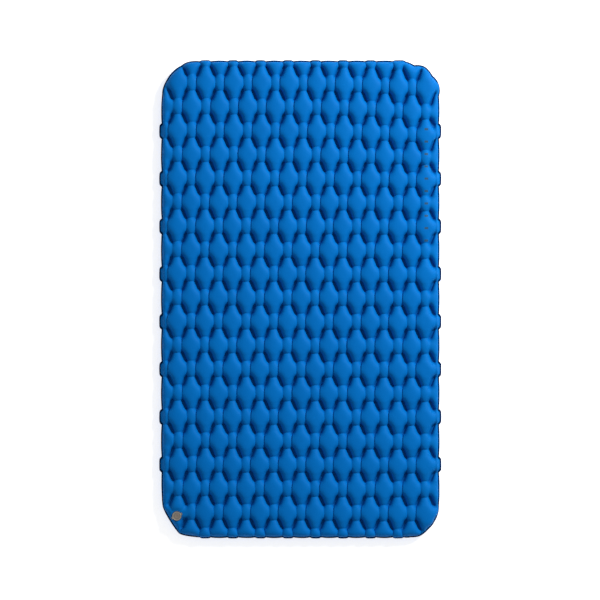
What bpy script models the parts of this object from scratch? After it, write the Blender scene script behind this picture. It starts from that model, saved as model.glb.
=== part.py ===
"""Double inflatable sleeping mat: two welded fabric sheets and a two-level flat valve.

Frame: metres, +Z up, origin at the centre of the footprint on the ground, +Y along the mat.
The two sheets are welded together along short slanted lines, which leave tall hexagonal air
cells with small square necks between them. The valve sits in the corner cell at -X, -Y.
"""
import math

import bmesh
import bpy
from mathutils import Matrix, Vector
from mathutils.geometry import delaunay_2d_cdt

# ---- mat ----------------------------------------------------------------------------------
THICKNESS = 0.065
MID_PLANE = THICKNESS / 2
GAP = 0.0003                      # left between pieces that touch
HALF_WIDTH = 0.568                # straight side seams, without the bumps at the necks
HALF_LENGTH = 0.975
SIDE_BUMP = 0.011                 # how far a neck pushes the side seam out
END_BUMP = 0.005                  # and the seam at the head and foot
SEAM_LIP = 0.006                  # welded edge all round
LIP_THICKNESS = 0.0008            # of one sheet, at the seam and the welds
CORNER_RADII = {(-1, 1): 0.125, (1, 1): 0.140, (-1, -1): 0.164, (1, -1): 0.147}
CORNER_STEPS = 8
STATION_MARGIN = 0.004            # a seam point keeps this far from the end of a straight side
SHOULDER_MARGIN = 0.020           # and a bumped one this far

# ---- weld pattern -------------------------------------------------------------------------
COLUMNS = 20                      # tubes across, seam to seam
ROWS = 20
COLUMN_PITCH = 0.0564
ROW_PITCH = 0.0975
PATTERN_SHIFT = 0.006             # the pattern sits this much towards +X and +Y of the outline
CELL_HALF = 0.0367                # half-width of a cell at the weld ends beside it
NECK_HALF = 0.0196                # half-width of a neck at the weld ends beside it
NECK_HALF_LENGTH = 0.02845        # a weld ends this far from a row's line, at both ends
WELD_MARGIN = 0.010               # a weld that would end nearer to the seam is left out
BUMP_MARGIN = 0.010               # and so is a raised point

# ---- air cells, heights above the mid-plane -----------------------------------------------
CELL_TOP = THICKNESS / 2
NECK_TOP = 0.0195
SIDE_SADDLE = 0.0150              # pass between a cell and the neck beside it
END_SADDLE = 0.0120               # pass between a cell and the neck above or below it
TOP_HALF = (0.0175, 0.050)        # half-axes of a cell's flat diamond top
EDGE_ROUND = 0.030                # the cells roll down to the seam over this width

# ---- valve, heights above the ground and radii about the valve's own axis ------------------
VALVE_AT = Vector((-0.5045, -0.8851, 0.0))
VALVE_TURN = math.radians(25)     # the plug's hinge lies this way from the axis, from +X
PAD_RADIUS = 0.0265               # flat fabric round the valve
PAD_TOP = 0.0560
SEGMENTS = 32
PLUG_HINGE = (0.0229, 0.0586)     # radius and height of the plug's strap hinge
CAP_HINGE = (-0.0210, 0.0613)     # the cap's, on the other side of the axis
PLUG_KNUCKLE = 0.0006             # radius of the plug strap's rolled end
CAP_KNUCKLE = 0.00055
STRAP_WIDTH = 0.009
LUG_WIDTH = 0.010                 # of the ring's lug, where the plug's strap starts
SPOKE_WIDTH = 0.0014
# Each tab as (reach from the axis, where it starts, width, bottom, top), along the straps.
PLUG_TAB = (-0.0250, 0.0175, 0.011, 0.0594, 0.0604)
CAP_TAB = (0.0205, 0.0170, 0.009, 0.0615, 0.0629)
# Each seal ring as (radius, radius of its section, height).
PLUG_SEAL = (0.01395, 0.00075, 0.0510)
CAP_SEAL = (0.00790, 0.00055, 0.0587)


def principled(name, color, roughness, metallic=0.0):
    """A plain material with the piece's own colour."""
    material = bpy.data.materials.new(name)
    material.use_nodes = True
    shader = material.node_tree.nodes["Principled BSDF"]
    shader.inputs["Base Color"].default_value = (*color, 1.0)
    shader.inputs["Roughness"].default_value = roughness
    shader.inputs["Metallic"].default_value = metallic
    material.diffuse_color = (*color, 1.0)
    return material


def add_object(name, mesh, material, parent=None, smooth=False):
    """Link a mesh as a named piece, under its joint's empty if it moves."""
    piece = bpy.data.objects.new(name, mesh)
    bpy.context.collection.objects.link(piece)
    mesh.materials.append(material)
    if smooth:
        mesh.shade_smooth()
        mesh.set_sharp_from_angle(angle=math.radians(35))
    if parent is not None:
        piece.parent = parent
        piece.matrix_parent_inverse = parent.matrix_world.inverted()
    return piece


# ---- mat outline and weld pattern ------------------------------------------------------------
def column_x(i):
    """Centre line of tube i."""
    return (i - COLUMNS / 2) * COLUMN_PITCH + PATTERN_SHIFT


def row_y(m):
    """Line through the cells and necks of row m, counted from the head end."""
    return (ROWS / 2 - m) * ROW_PITCH + PATTERN_SHIFT


def is_cell(i, m):
    """Cells and necks alternate along a tube and from tube to tube."""
    return (i + m) % 2 == 0


def depth_inside(x, y, inset=0.0):
    """Distance of a point inside the outline, which may be inset first."""
    side = (1 if x > 0 else -1, 1 if y > 0 else -1)
    radius = CORNER_RADII[side] - inset
    past_x = abs(x) - (HALF_WIDTH - inset - radius)
    past_y = abs(y) - (HALF_LENGTH - inset - radius)
    if past_x > 0 and past_y > 0:
        return radius - math.hypot(past_x, past_y)
    return radius - max(past_x, past_y)


def side_stations(start, stop, centres, half_width, bump):
    """Places along one straight side as (distance, bump), with four at each neck."""
    low, high = min(start, stop), max(start, stop)
    stations = [(start, 0.0)]
    offsets = ((-1.0, 0.0), (-0.6, bump), (0.6, bump), (1.0, 0.0))
    places = [(c + k * half_width, b) for c in centres for k, b in offsets]
    for along, rise in sorted(places, reverse=start > stop):
        margin = STATION_MARGIN if rise == 0.0 else SHOULDER_MARGIN
        if low + margin < along < high - margin:
            stations.append((along, rise))
    stations.append((stop, 0.0))
    return stations


def outline_pair():
    """The seam's outer and inner loops as lists of points, counter-clockwise, one to one."""
    outer, inner = [], []
    inner_x = HALF_WIDTH - SEAM_LIP
    inner_y = HALF_LENGTH - SEAM_LIP
    corners = ((1, -1), (1, 1), (-1, 1), (-1, -1))
    for k, corner in enumerate(corners):
        sx, sy = corner
        radius = CORNER_RADII[corner]
        centre = Vector((sx * (HALF_WIDTH - radius), sy * (HALF_LENGTH - radius)))
        first = math.radians(-90 + 90 * k)
        for step in range(CORNER_STEPS + 1):
            angle = first + math.radians(90) * step / CORNER_STEPS
            ray = Vector((math.cos(angle), math.sin(angle)))
            outer.append(centre + ray * radius)
            inner.append(centre + ray * (radius - SEAM_LIP))
        after = corners[(k + 1) % 4]
        if sx == after[0]:
            start = sy * (HALF_LENGTH - radius)
            stop = after[1] * (HALF_LENGTH - CORNER_RADII[after])
            edge = 0 if sx < 0 else COLUMNS
            necks = [row_y(m) for m in range(ROWS + 1) if not is_cell(edge, m)]
            for y, bump in side_stations(start, stop, necks, NECK_HALF_LENGTH, SIDE_BUMP)[1:-1]:
                outer.append(Vector((sx * (HALF_WIDTH + bump), y)))
                inner.append(Vector((sx * inner_x, y)))
        else:
            start = sx * (HALF_WIDTH - radius)
            stop = after[0] * (HALF_WIDTH - CORNER_RADII[after])
            edge = 0 if sy > 0 else ROWS
            necks = [column_x(i) for i in range(COLUMNS + 1) if not is_cell(i, edge)]
            for x, bump in side_stations(start, stop, necks, NECK_HALF, END_BUMP)[1:-1]:
                outer.append(Vector((x, sy * (HALF_LENGTH + bump))))
                inner.append(Vector((x, sy * inner_y)))
    return outer, inner


def rolled_height(x, y, height):
    """A height above the mid-plane, brought down near the seam by a quarter-round."""
    depth = depth_inside(x, y, SEAM_LIP)
    if depth >= EDGE_ROUND:
        return height
    round_off = math.sqrt(1 - (1 - depth / EDGE_ROUND) ** 2)
    return min(height, CELL_TOP * round_off)


class Relief:
    """Plan points with heights, and the creases between them, for one sheet's outer face."""

    def __init__(self, valve):
        self.points = []
        self.heights = []
        self.creases = []
        self.valve = valve

    def add(self, x, y, height):
        """Add a point and give its index."""
        self.points.append(Vector((x, y)))
        self.heights.append(height)
        return len(self.points) - 1

    def add_bump(self, x, y, height):
        """Add a raised point unless it falls near the seam or the valve's pad."""
        if depth_inside(x, y, SEAM_LIP) < BUMP_MARGIN:
            return None
        near_valve = (Vector((x, y)) - VALVE_AT.xy).length < PAD_RADIUS + 0.004
        if self.valve and near_valve:
            return None
        return self.add(x, y, rolled_height(x, y, height))

    def add_loop(self, loop, height):
        """Add a closed loop of points at one height and its creases."""
        indices = [self.add(p.x, p.y, height) for p in loop]
        self.creases += zip(indices, indices[1:] + indices[:1])
        return indices


def add_welds(relief):
    """Slanted welds between neighbouring tubes, one on each row gap."""
    for i in range(COLUMNS):
        for m in range(ROWS):
            upper, lower = (CELL_HALF, NECK_HALF) if is_cell(i, m) else (NECK_HALF, CELL_HALF)
            ends = (
                (column_x(i) + upper, row_y(m) - NECK_HALF_LENGTH),
                (column_x(i) + lower, row_y(m + 1) + NECK_HALF_LENGTH),
            )
            if all(depth_inside(x, y) > WELD_MARGIN for x, y in ends):
                relief.creases.append(tuple(relief.add(x, y, LIP_THICKNESS) for x, y in ends))


def add_cells(relief, saddles):
    """Flat diamond tops on the cells, a point on each neck and the passes between them."""
    half_x, half_y = TOP_HALF
    for i in range(COLUMNS + 1):
        for m in range(ROWS + 1):
            x, y = column_x(i), row_y(m)
            if is_cell(i, m):
                corners = ((half_x, 0), (0, half_y), (-half_x, 0), (0, -half_y))
                tops = [relief.add_bump(x + dx, y + dy, CELL_TOP) for dx, dy in corners]
                if None not in tops:
                    relief.creases += zip(tops, tops[1:] + tops[:1])
                continue
            relief.add_bump(x, y, NECK_TOP)
            if saddles:
                reach = COLUMN_PITCH - CELL_HALF + 0.001
                relief.add_bump(x + reach, y, SIDE_SADDLE)
                relief.add_bump(x - reach, y, SIDE_SADDLE)
            relief.add_bump(x, y + NECK_HALF_LENGTH, END_SADDLE)
            relief.add_bump(x, y - NECK_HALF_LENGTH, END_SADDLE)


def sheet_mesh(name, upward, saddles, valve):
    """One sheet with the air that it holds: its cells outside, flat at the mid-plane inside."""
    outer, inner = outline_pair()
    relief = Relief(valve)
    rim = relief.add_loop(inner, LIP_THICKNESS)
    if valve:
        ring = [Vector((math.cos(a), math.sin(a))) * PAD_RADIUS + VALVE_AT.xy
                for a in (2 * math.pi * k / SEGMENTS for k in range(SEGMENTS))]
        relief.add_loop(ring, PAD_TOP - MID_PLANE)
    add_welds(relief)
    add_cells(relief, saddles)
    plan, _, faces, sources, _, _ = delaunay_2d_cdt(
        relief.points, relief.creases, [rim], 1, 1e-6)
    heights = [relief.heights[source[0]] for source in sources]

    side = 1 if upward else -1
    mesh = bpy.data.meshes.new(name)
    bm = bmesh.new()
    level = MID_PLANE + side * GAP / 2
    top = [bm.verts.new((p.x, p.y, MID_PLANE + side * h)) for p, h in zip(plan, heights)]
    for face in faces:
        bm.faces.new([top[k] for k in face])
    place = {source: k for k, group in enumerate(sources) for source in group}
    lip_in = [top[place[k]] for k in rim]
    lip_out = [bm.verts.new((p.x, p.y, MID_PLANE + side * LIP_THICKNESS)) for p in outer]
    base = [bm.verts.new((p.x, p.y, level)) for p in outer]
    count = len(outer)
    for k in range(count):
        after = (k + 1) % count
        bm.faces.new((lip_in[k], lip_out[k], lip_out[after], lip_in[after]))
        bm.faces.new((lip_out[k], base[k], base[after], lip_out[after]))
    bm.faces.new(base)
    bmesh.ops.recalc_face_normals(bm, faces=bm.faces)
    bm.to_mesh(mesh)
    bm.free()
    return mesh


# ---- valve pieces ----------------------------------------------------------------------------
def turned_bm(profile, segments=SEGMENTS):
    """A ring or a disc turned about Z from a closed profile of (radius, height) points."""
    bm = bmesh.new()
    rings = []
    for radius, height in profile:
        if radius == 0.0:
            rings.append([bm.verts.new((0.0, 0.0, height))] * segments)
            continue
        angles = (2 * math.pi * k / segments for k in range(segments))
        rings.append([bm.verts.new((radius * math.cos(a), radius * math.sin(a), height))
                      for a in angles])
    pairs = list(zip(rings, rings[1:] + rings[:1]))
    for low, high in pairs:
        for k in range(segments):
            after = (k + 1) % segments
            corners = [low[k], low[after], high[after], high[k]]
            unique = [v for n, v in enumerate(corners) if v not in corners[:n]]
            if len(unique) > 2:
                bm.faces.new(unique)
    bmesh.ops.recalc_face_normals(bm, faces=bm.faces)
    return bm


def finished(name, bm, turn=0.0):
    """A mesh at the valve's place, turned about the valve's axis."""
    bm.transform(Matrix.Translation(VALVE_AT) @ Matrix.Rotation(turn, 4, "Z"))
    mesh = bpy.data.meshes.new(name)
    bm.to_mesh(mesh)
    bm.free()
    return mesh


def leaf_bm(section, width):
    """A strap leaf: a section of (along, height) points with a width across the strap."""
    bm = bmesh.new()
    near = [bm.verts.new((x, -width / 2, z)) for x, z in section]
    far = [bm.verts.new((x, width / 2, z)) for x, z in section]
    count = len(section)
    for k in range(count):
        after = (k + 1) % count
        bm.faces.new((near[k], near[after], far[after], far[k]))
    bm.faces.new(near)
    bm.faces.new(far)
    bmesh.ops.recalc_face_normals(bm, faces=bm.faces)
    return bm


def knuckle(centre, radius, start, stop, steps=5):
    """Points round a strap's rolled end, from one angle to another in degrees."""
    points = []
    for k in range(steps + 1):
        angle = math.radians(start + (stop - start) * k / steps)
        points.append((centre[0] + radius * math.cos(angle), centre[1] + radius * math.sin(angle)))
    return points


def rounded_tab(reach, start, width, low, high):
    """A flat tab with a round end, along +X or -X from the axis."""
    side = 1 if reach > 0 else -1
    end = abs(reach) - width / 2
    plan = [(start, -width / 2)]
    for k in range(9):
        angle = math.radians(-90 + 22.5 * k)
        plan.append((end + width / 2 * math.cos(angle), width / 2 * math.sin(angle)))
    plan.append((start, width / 2))
    bm = bmesh.new()
    floor = [bm.verts.new((side * x, y, low)) for x, y in plan]
    roof = [bm.verts.new((side * x, y, high)) for x, y in plan]
    count = len(plan)
    for k in range(count):
        after = (k + 1) % count
        bm.faces.new((floor[k], floor[after], roof[after], roof[k]))
    bm.faces.new(floor)
    bm.faces.new(roof)
    bmesh.ops.recalc_face_normals(bm, faces=bm.faces)
    return bm


def add_tool(name, bm, turn=0.0):
    """A hidden body that a Boolean adds to a piece or cuts from it."""
    tool = bpy.data.objects.new(name, finished(name, bm, turn))
    bpy.context.collection.objects.link(tool)
    tool.hide_render = True
    tool.display_type = "WIRE"
    return tool


def combine(piece, tool, operation):
    """Join a tool to a piece, or cut it away, with an exact Boolean."""
    modifier = piece.modifiers.new(operation.title(), "BOOLEAN")
    modifier.operation = operation
    modifier.solver = "EXACT"
    modifier.object = tool


def torus_profile(major, minor, height, steps=6):
    """The round section of a seal ring."""
    angles = (2 * math.pi * k / steps for k in range(steps))
    return [(major + minor * math.cos(a), height + minor * math.sin(a)) for a in angles]


def hinge_empty(name, radius, height):
    """An empty on a strap's hinge line."""
    empty = bpy.data.objects.new(name, None)
    bpy.context.collection.objects.link(empty)
    outward = Matrix.Rotation(VALVE_TURN, 4, "Z") @ Vector((radius, 0.0, height))
    empty.matrix_world = Matrix.Translation(VALVE_AT + outward) @ Matrix.Rotation(VALVE_TURN, 4, "Z")
    return empty


# Closed profiles of (radius, height), all turned about the valve's axis.
BASE_PROFILE = (
    (0.0148, 0.0395), (0.0180, 0.0395), (0.0180, 0.0530), (0.0250, 0.0530), (0.0250, 0.0545),
    (0.0180, 0.0545), (0.0180, 0.0579), (0.0190, 0.0579), (0.0190, 0.0586), (0.0186, 0.0590),
    (0.0163, 0.0590), (0.0148, 0.0503),
)
PLUG_PROFILE = (
    (0.0132, 0.0460), (0.0142, 0.0485), (0.0142, 0.0499), (0.0129, 0.0499), (0.0129, 0.0521),
    (0.0142, 0.0521), (0.0143, 0.0530), (0.0159, 0.0590), (0.0159, 0.0593), (0.0184, 0.0593),
    (0.0187, 0.0596), (0.0187, 0.0607), (0.0184, 0.0610), (0.0092, 0.0610), (0.0084, 0.0575),
    (0.0084, 0.0494), (0.0097, 0.0494), (0.0097, 0.0460),
)
SEAT_PROFILE = ((0.0064, 0.0476), (0.0094, 0.0476), (0.0094, 0.0490), (0.0064, 0.0490))
HUB_PROFILE = ((0.0010, 0.0476), (0.0021, 0.0476), (0.0021, 0.0490), (0.0010, 0.0490))
CAP_PROFILE = (
    (0.0059, 0.0570), (0.0073, 0.0570), (0.0078, 0.0576), (0.0078, 0.0579), (0.00705, 0.0579),
    (0.00705, 0.0595), (0.0080, 0.0595), (0.0083, 0.0613), (0.0176, 0.0613),
    (0.0178, 0.0616), (0.0178, 0.0633), (0.0175, 0.0636), (0.0160, 0.0636), (0.0152, 0.0630),
    (0.0060, 0.0630), (0.0045, 0.0624), (0.0, 0.0624), (0.0, 0.0608), (0.0059, 0.0608),
)
RING_PROFILE = ((0.0183, 0.0563), (0.0203, 0.0563), (0.0203, 0.0575), (0.0183, 0.0575))
DIAPHRAGM_PROFILE = (
    (0.0, 0.0465), (0.0082, 0.0467), (0.0082, 0.0473), (0.0007, 0.0473), (0.0007, 0.0509),
    (0.0015, 0.0509), (0.0013, 0.0515), (0.0, 0.0519),
)
POCKET_PROFILE = (
    (0.0, 0.0392), (0.0183, 0.0392), (0.0183, 0.0527), (0.0253, 0.0527), (0.0253, 0.0548),
    (0.0183, 0.0548), (0.0183, 0.0600), (0.0, 0.0600),
)

# Closed sections of (distance from the valve's axis, height), along the straps.
SPOKE_SECTION = ((0.0018, 0.0478), (0.0072, 0.0478), (0.0072, 0.0488), (0.0018, 0.0488))
LUG_SECTION = (
    (0.0190, 0.0563), (0.0235, 0.0563), (0.0235, 0.0572), (0.0232, 0.0575), (0.0190, 0.0575),
)
PLUG_STRAP_SECTION = (
    (0.0175, 0.0594), (0.0193, 0.0594), (0.0215, 0.0580),
    *knuckle(PLUG_HINGE, PLUG_KNUCKLE, -90, 90),
    (0.0195, 0.0609), (0.0175, 0.0609),
)
CAP_STRAP_SECTION = (
    (-0.0170, 0.0614), (-0.0170, 0.0624), (-0.0188, 0.0622),
    *knuckle(CAP_HINGE, CAP_KNUCKLE, 90, 270),
    (-0.0194, 0.0608), (-0.0189, 0.0614),
)


def seat_mesh():
    """The check valve's seat: a ring, a hub with the stem's hole and four spokes."""
    seat = turned_bm(SEAT_PROFILE)
    hub = turned_bm(HUB_PROFILE, SEGMENTS // 2)
    spokes = []
    for k in range(4):
        spoke = leaf_bm(SPOKE_SECTION, SPOKE_WIDTH)
        spoke.transform(Matrix.Rotation(math.radians(90 * k), 4, "Z"))
        spokes.append(spoke)
    return seat, [hub] + spokes


def build_sheets():
    """Top and bottom fabric, with the valve's pocket cut in the top one."""
    fabric = principled("nylon_blue", (0.010, 0.155, 0.500), 0.62)
    top = add_object("top_sheet", sheet_mesh("top_sheet", True, True, True), fabric)
    pocket = add_tool("valve_pocket", turned_bm(POCKET_PROFILE))
    combine(top, pocket, "DIFFERENCE")
    add_object("bottom_sheet", sheet_mesh("bottom_sheet", False, False, False), fabric)


def build_valve():
    """The valve's body, its plug and cap on their straps, and the check valve inside."""
    tpu = principled("valve_tpu", (0.300, 0.270, 0.235), 0.45)
    pale = principled("cap_tpu", (0.420, 0.385, 0.340), 0.42)
    silicone = principled("silicone", (0.560, 0.570, 0.560), 0.38)
    seal = principled("seal_rubber", (0.030, 0.030, 0.032), 0.55)
    plug_hinge = hinge_empty("plug_hinge", *PLUG_HINGE)
    cap_hinge = hinge_empty("cap_hinge", *CAP_HINGE)

    add_object("valve_base", finished("valve_base", turned_bm(BASE_PROFILE)), tpu, smooth=True)

    ring = add_object("plug_strap_ring", finished("plug_strap_ring", turned_bm(RING_PROFILE)), tpu)
    combine(ring, add_tool("ring_lug", leaf_bm(LUG_SECTION, LUG_WIDTH), VALVE_TURN), "UNION")

    plug = add_object("deflate_plug", finished("deflate_plug", turned_bm(PLUG_PROFILE)), tpu,
                      parent=plug_hinge)
    strap = leaf_bm(PLUG_STRAP_SECTION, STRAP_WIDTH)
    combine(plug, add_tool("plug_strap", strap, VALVE_TURN), "UNION")
    combine(plug, add_tool("plug_tab", rounded_tab(*PLUG_TAB), VALVE_TURN), "UNION")

    add_object("plug_seal", finished("plug_seal", turned_bm(torus_profile(*PLUG_SEAL))), seal,
               parent=plug_hinge, smooth=True)

    ring_part, arms = seat_mesh()
    seat = add_object("valve_seat", finished("valve_seat", ring_part), tpu, parent=plug_hinge)
    for k, arm in enumerate(arms):
        combine(seat, add_tool(f"seat_arm_{k}", arm), "UNION")

    add_object("check_diaphragm", finished("check_diaphragm", turned_bm(DIAPHRAGM_PROFILE, 24)),
               silicone, parent=plug_hinge, smooth=True)

    cap = add_object("inflate_cap", finished("inflate_cap", turned_bm(CAP_PROFILE)), pale,
                     parent=cap_hinge)
    strap = leaf_bm(CAP_STRAP_SECTION, STRAP_WIDTH)
    combine(cap, add_tool("cap_strap", strap, VALVE_TURN), "UNION")
    combine(cap, add_tool("cap_tab", rounded_tab(*CAP_TAB), VALVE_TURN), "UNION")

    add_object("cap_seal", finished("cap_seal", turned_bm(torus_profile(*CAP_SEAL))), seal,
               parent=cap_hinge, smooth=True)


def main():
    for old in list(bpy.data.objects):
        bpy.data.objects.remove(old, do_unlink=True)
    build_sheets()
    build_valve()


main()
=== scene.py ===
"""Looks of the double inflatable sleeping mat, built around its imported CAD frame.

The two sheets are cut as one flat grid each, welded along the short slanted lines of the CAD
pattern, and blown up by a small cloth solver. The valve's pieces are turned finely around the
CAD pieces' own sizes. Metres throughout, +Z up, +Y along the mat.
"""
import math

import bmesh
import bpy
import numpy as np
from mathutils import Matrix, Vector


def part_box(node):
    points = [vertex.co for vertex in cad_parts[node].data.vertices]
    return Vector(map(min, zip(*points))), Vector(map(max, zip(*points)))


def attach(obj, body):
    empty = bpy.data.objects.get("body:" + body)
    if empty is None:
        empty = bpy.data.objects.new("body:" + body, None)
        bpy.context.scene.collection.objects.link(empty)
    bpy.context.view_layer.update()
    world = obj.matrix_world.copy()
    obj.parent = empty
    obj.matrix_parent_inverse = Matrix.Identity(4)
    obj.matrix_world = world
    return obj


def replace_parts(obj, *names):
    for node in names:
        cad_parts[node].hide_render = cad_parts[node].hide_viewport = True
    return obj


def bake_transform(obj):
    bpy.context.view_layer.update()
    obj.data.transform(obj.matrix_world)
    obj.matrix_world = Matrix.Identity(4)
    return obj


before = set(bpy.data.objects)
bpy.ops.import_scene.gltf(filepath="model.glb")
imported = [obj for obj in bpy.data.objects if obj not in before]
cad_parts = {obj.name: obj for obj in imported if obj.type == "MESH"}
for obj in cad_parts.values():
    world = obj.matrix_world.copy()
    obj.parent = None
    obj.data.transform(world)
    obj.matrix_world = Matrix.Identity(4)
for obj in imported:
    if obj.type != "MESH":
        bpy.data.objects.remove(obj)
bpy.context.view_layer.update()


# ---- sizes read from the frame ----
def centre_of(node):
    """Middle of a CAD node's box."""
    low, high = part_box(node)
    return (low + high) / 2


SHEET_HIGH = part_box("top_sheet")[1]
THICKNESS = SHEET_HIGH.z
MID = THICKNESS / 2
FULL = THICKNESS - MID  # height of a full cell above the mid-plane
SIDE_BUMP = 0.011  # the necks push the side seams out this far
END_BUMP = 0.005
HALF_WIDTH = SHEET_HIGH.x - SIDE_BUMP
HALF_LENGTH = SHEET_HIGH.y - END_BUMP
VALVE = centre_of("valve_base")
VALVE_TURN = math.radians(25)  # the straps and tabs lie along this way from +X

# ---- weld pattern, as in the CAD model ----
COLUMNS = 20
ROWS = 20
COLUMN_PITCH = 0.0564
ROW_PITCH = 0.0975
PATTERN_SHIFT = 0.006  # the pattern sits this much towards +X and +Y
CELL_HALF = 0.0367  # half-width of a cell at the weld ends beside it
NECK_HALF = 0.0196
NECK_REACH = 0.02845  # a weld ends this far from a row's line

# ---- seam ----
SEAM_LIP = 0.006  # flat welded edge outside the seam
SEAM_X = HALF_WIDTH - SEAM_LIP
SEAM_Y = HALF_LENGTH - SEAM_LIP
WELD_MARGIN = 0.007  # a weld stops this far from the seam
SIDE_BULGE = 0.0030  # the seam's lobes stand this far out of their chords
END_BULGE = 0.0035
LOBE_POWER = 0.8  # below 1, a lobe is fuller than a parabola
LOBE_SPACING = 0.002  # between the points of a lobe
SHORT_LOBE = 0.05  # a lobe shorter than this
SHORT_LOBE_SHARE = 0.6  # stands out by this share of its bulge
SIDE_NECK_BUMP = 0.0090  # and the necks' bumps stand this far out
END_NECK_BUMP = 0.0045
BUMP_SPACING = 0.0015
BUMP_SHOULDER = 0.17  # share of a bump's length that each shoulder takes
BUMP_CROWN = 0.5  # extra rise of its middle
KNOT_SLACK = 0.004  # a bump may reach this far past a corner's last notch
KNOT_GAP = 0.009  # notches closer than this are one
# Where the seam pulls in at each corner, as (in from the side, in from the end), side first.
CORNER_NOTCHES = {
    (-1, 1): ((0.002, 0.128), (0.077, 0.017), (0.106, 0.001)),
    (-1, -1): ((0.004, 0.120), (0.070, 0.013)),
    (1, 1): ((0.000, 0.136), (0.024, 0.058), (0.054, 0.021), (0.096, 0.016), (0.135, 0.000)),
    (1, -1): ((0.000, 0.124), (0.015, 0.065), (0.040, 0.032), (0.076, 0.004), (0.110, 0.000)),
}
CORNER_BULGES = {
    (-1, 1): (0.017, 0.004),
    (-1, -1): (0.005,),
    (1, 1): (0.014, 0.004, 0.006, 0.004),
    (1, -1): (0.005, 0.004, 0.004, 0.003),
}

# ---- fabric grid and inflation ----
HALF_STEPS = 7  # grid steps across an outer half column
COLUMN_STEPS = 12  # across a full column, its first and last half a weld wide
WELD_HALF = 0.0045
END_STEPS = 6  # from the seam to the first weld ends, head and foot
GAP_STEPS = 10  # over a row's gap between two welds
WELD_STEPS = 8
EASE_X = 1.40  # flat width of the fabric over its width when inflated
EASE_Y = 1.10
SIDE_EASE = 1.55  # the same across the outer half columns
END_EASE = 1.40  # and along the outer half rows
EASE_SPREAD = (0.012, 0.010)  # how much the ease differs from cell to cell
PATTERN_SPREAD = 0.0007  # and how far the welds lie off their places
SEAM_FADE = 0.020  # the pattern isn't skewed at the seam, and fully this far in
PAD_RINGS = (0.0, 0.006, 0.012, 0.0184, 0.0212, 0.0235)  # radii of the grid's rings at the valve
PAD_BLEND = 0.0062  # from the last ring to the one that is drawn half the way to it
PAD_PASSES = 12  # of evening out round the rings
HOLE_RING = 3  # the edge of the fabric's hole round the collar
PAD_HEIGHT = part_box("plug_strap_ring")[0].z - 0.0003 - MID  # 0.3 mm under the strap ring
CUT_REACH = 0.17  # the corners, both ways from the seam: where quads are cut,
EVEN_REACH = 0.19  # where the plan is evened out,
WELD_REACH = 0.22  # and where welds are tested against the seam
EVEN_DEPTH = 0.030  # points nearer to the seam than this are evened out
EVEN_PASSES = 40
WELD_SHADE_BESIDE = ((1, 0.45), (0, 0.40))  # (grid axis, how much of the weld's painted shade the points beside it get)
INFLATE_STEPS = 260
PATTERN_SEED, LOWER_SEED, UPPER_SEED = 11, 5, 8
START_HEIGHT = 0.004  # of the flat sheet over the mid-plane, and its unevenness
START_SPREAD = 0.0004
PUSH = 0.0006  # of the air at each step, until the cloth is nearly full
LATE_PUSH = 0.0002
PUSH_SHARE = 0.6  # of the steps
GLIDE = 0.9  # speed kept from one step to the next
LOWEST = 0.0004  # free cloth stays this far over the mid-plane
SQUEEZE = 0.02  # cloth hardly resists being shortened
SHEAR = 0.25  # and resists a skew less than a stretch
FULL_SHARE = 99.9  # per cent of the points lie below a full cell's top
TOP_MARGIN = 0.0002  # the cells stay this far inside the mat's thickness
SHEET_GAP = 0.0002  # from the mid-plane to either sheet at a weld
TOP_SOFTNESS = 0.0015  # heights this near the limit are pressed together
CREASE_SOFTNESS = 0.9  # share of each pass that fills a crease beside a neck
CREASE_PASSES = 9
FLATTEN = 1.5  # above 1, the cells' tops are flatter and their sides steeper
LEAN_SPOT = (-0.4795, -0.8734)  # where the raised plug's cap comes down to the fabric
LEAN_HEIGHT = 0.0565  # the most that the fabric may be high there
LEAN_RISE = 20.0  # and how fast that limit rises round it, per metre
WAVE_CYCLES = (23, 37, 54, 61, 83, 108)  # ups and downs of the seam round the mat
WAVE_HEIGHT = 0.00055
WAVE_PHASE = 6.3
# (out of the seam, above the middle of the edge) round the welded edge's section
EDGE_SECTION = (
    (-0.0030, 0.0004), (0.0, 0.0007), (0.0030, 0.0006), (0.0052, 0.0006), (0.0057, 0.0),
    (0.0052, -0.0006), (0.0030, -0.0006), (0.0, -0.0007), (-0.0030, -0.0004),
)
EDGE_SMOOTHING = 3  # points to each side that smooth the welded edge's outline
EDGE_WAVE_GAIN = 60  # the edge waves more the further out it is, per metre


def column_x(i):
    """Centre line of column i."""
    return (i - COLUMNS / 2) * COLUMN_PITCH + PATTERN_SHIFT


def row_y(m):
    """Line through the cells and necks of row m, counted from the head end."""
    return (ROWS / 2 - m) * ROW_PITCH + PATTERN_SHIFT


def is_cell(i, m):
    """Cells and necks alternate along a column and from column to column."""
    return (i + m) % 2 == 0


# ---- the seam's line ----
def bowed(a, b, spacing, rise):
    """Points from a up to b, moved out of the mat by rise(t), with t from 0 to 1."""
    a, b = np.array(a), np.array(b)
    chord = b - a
    length = math.hypot(*chord)
    count = max(3, int(length / spacing))
    t = np.arange(count) / count
    outward = np.array([chord[1], -chord[0]]) / length
    return a + t[:, None] * chord + rise(t)[:, None] * outward


def lobe(a, b, bulge):
    """A shallow arc that stands out of the mat."""
    def rise(t):
        return bulge * np.clip(4 * t * (1 - t), 0, 1) ** LOBE_POWER
    return bowed(a, b, LOBE_SPACING, rise)


def neck_bump(a, b, height):
    """The square-shouldered bump that a neck pushes out."""
    def rise(t):
        shoulder = np.clip(np.minimum(t, 1 - t) / BUMP_SHOULDER, 0, 1)
        return height * np.sqrt(1 - (1 - shoulder) ** 2) * (1 + BUMP_CROWN * t * (1 - t))
    return bowed(a, b, BUMP_SPACING, rise)


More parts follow.
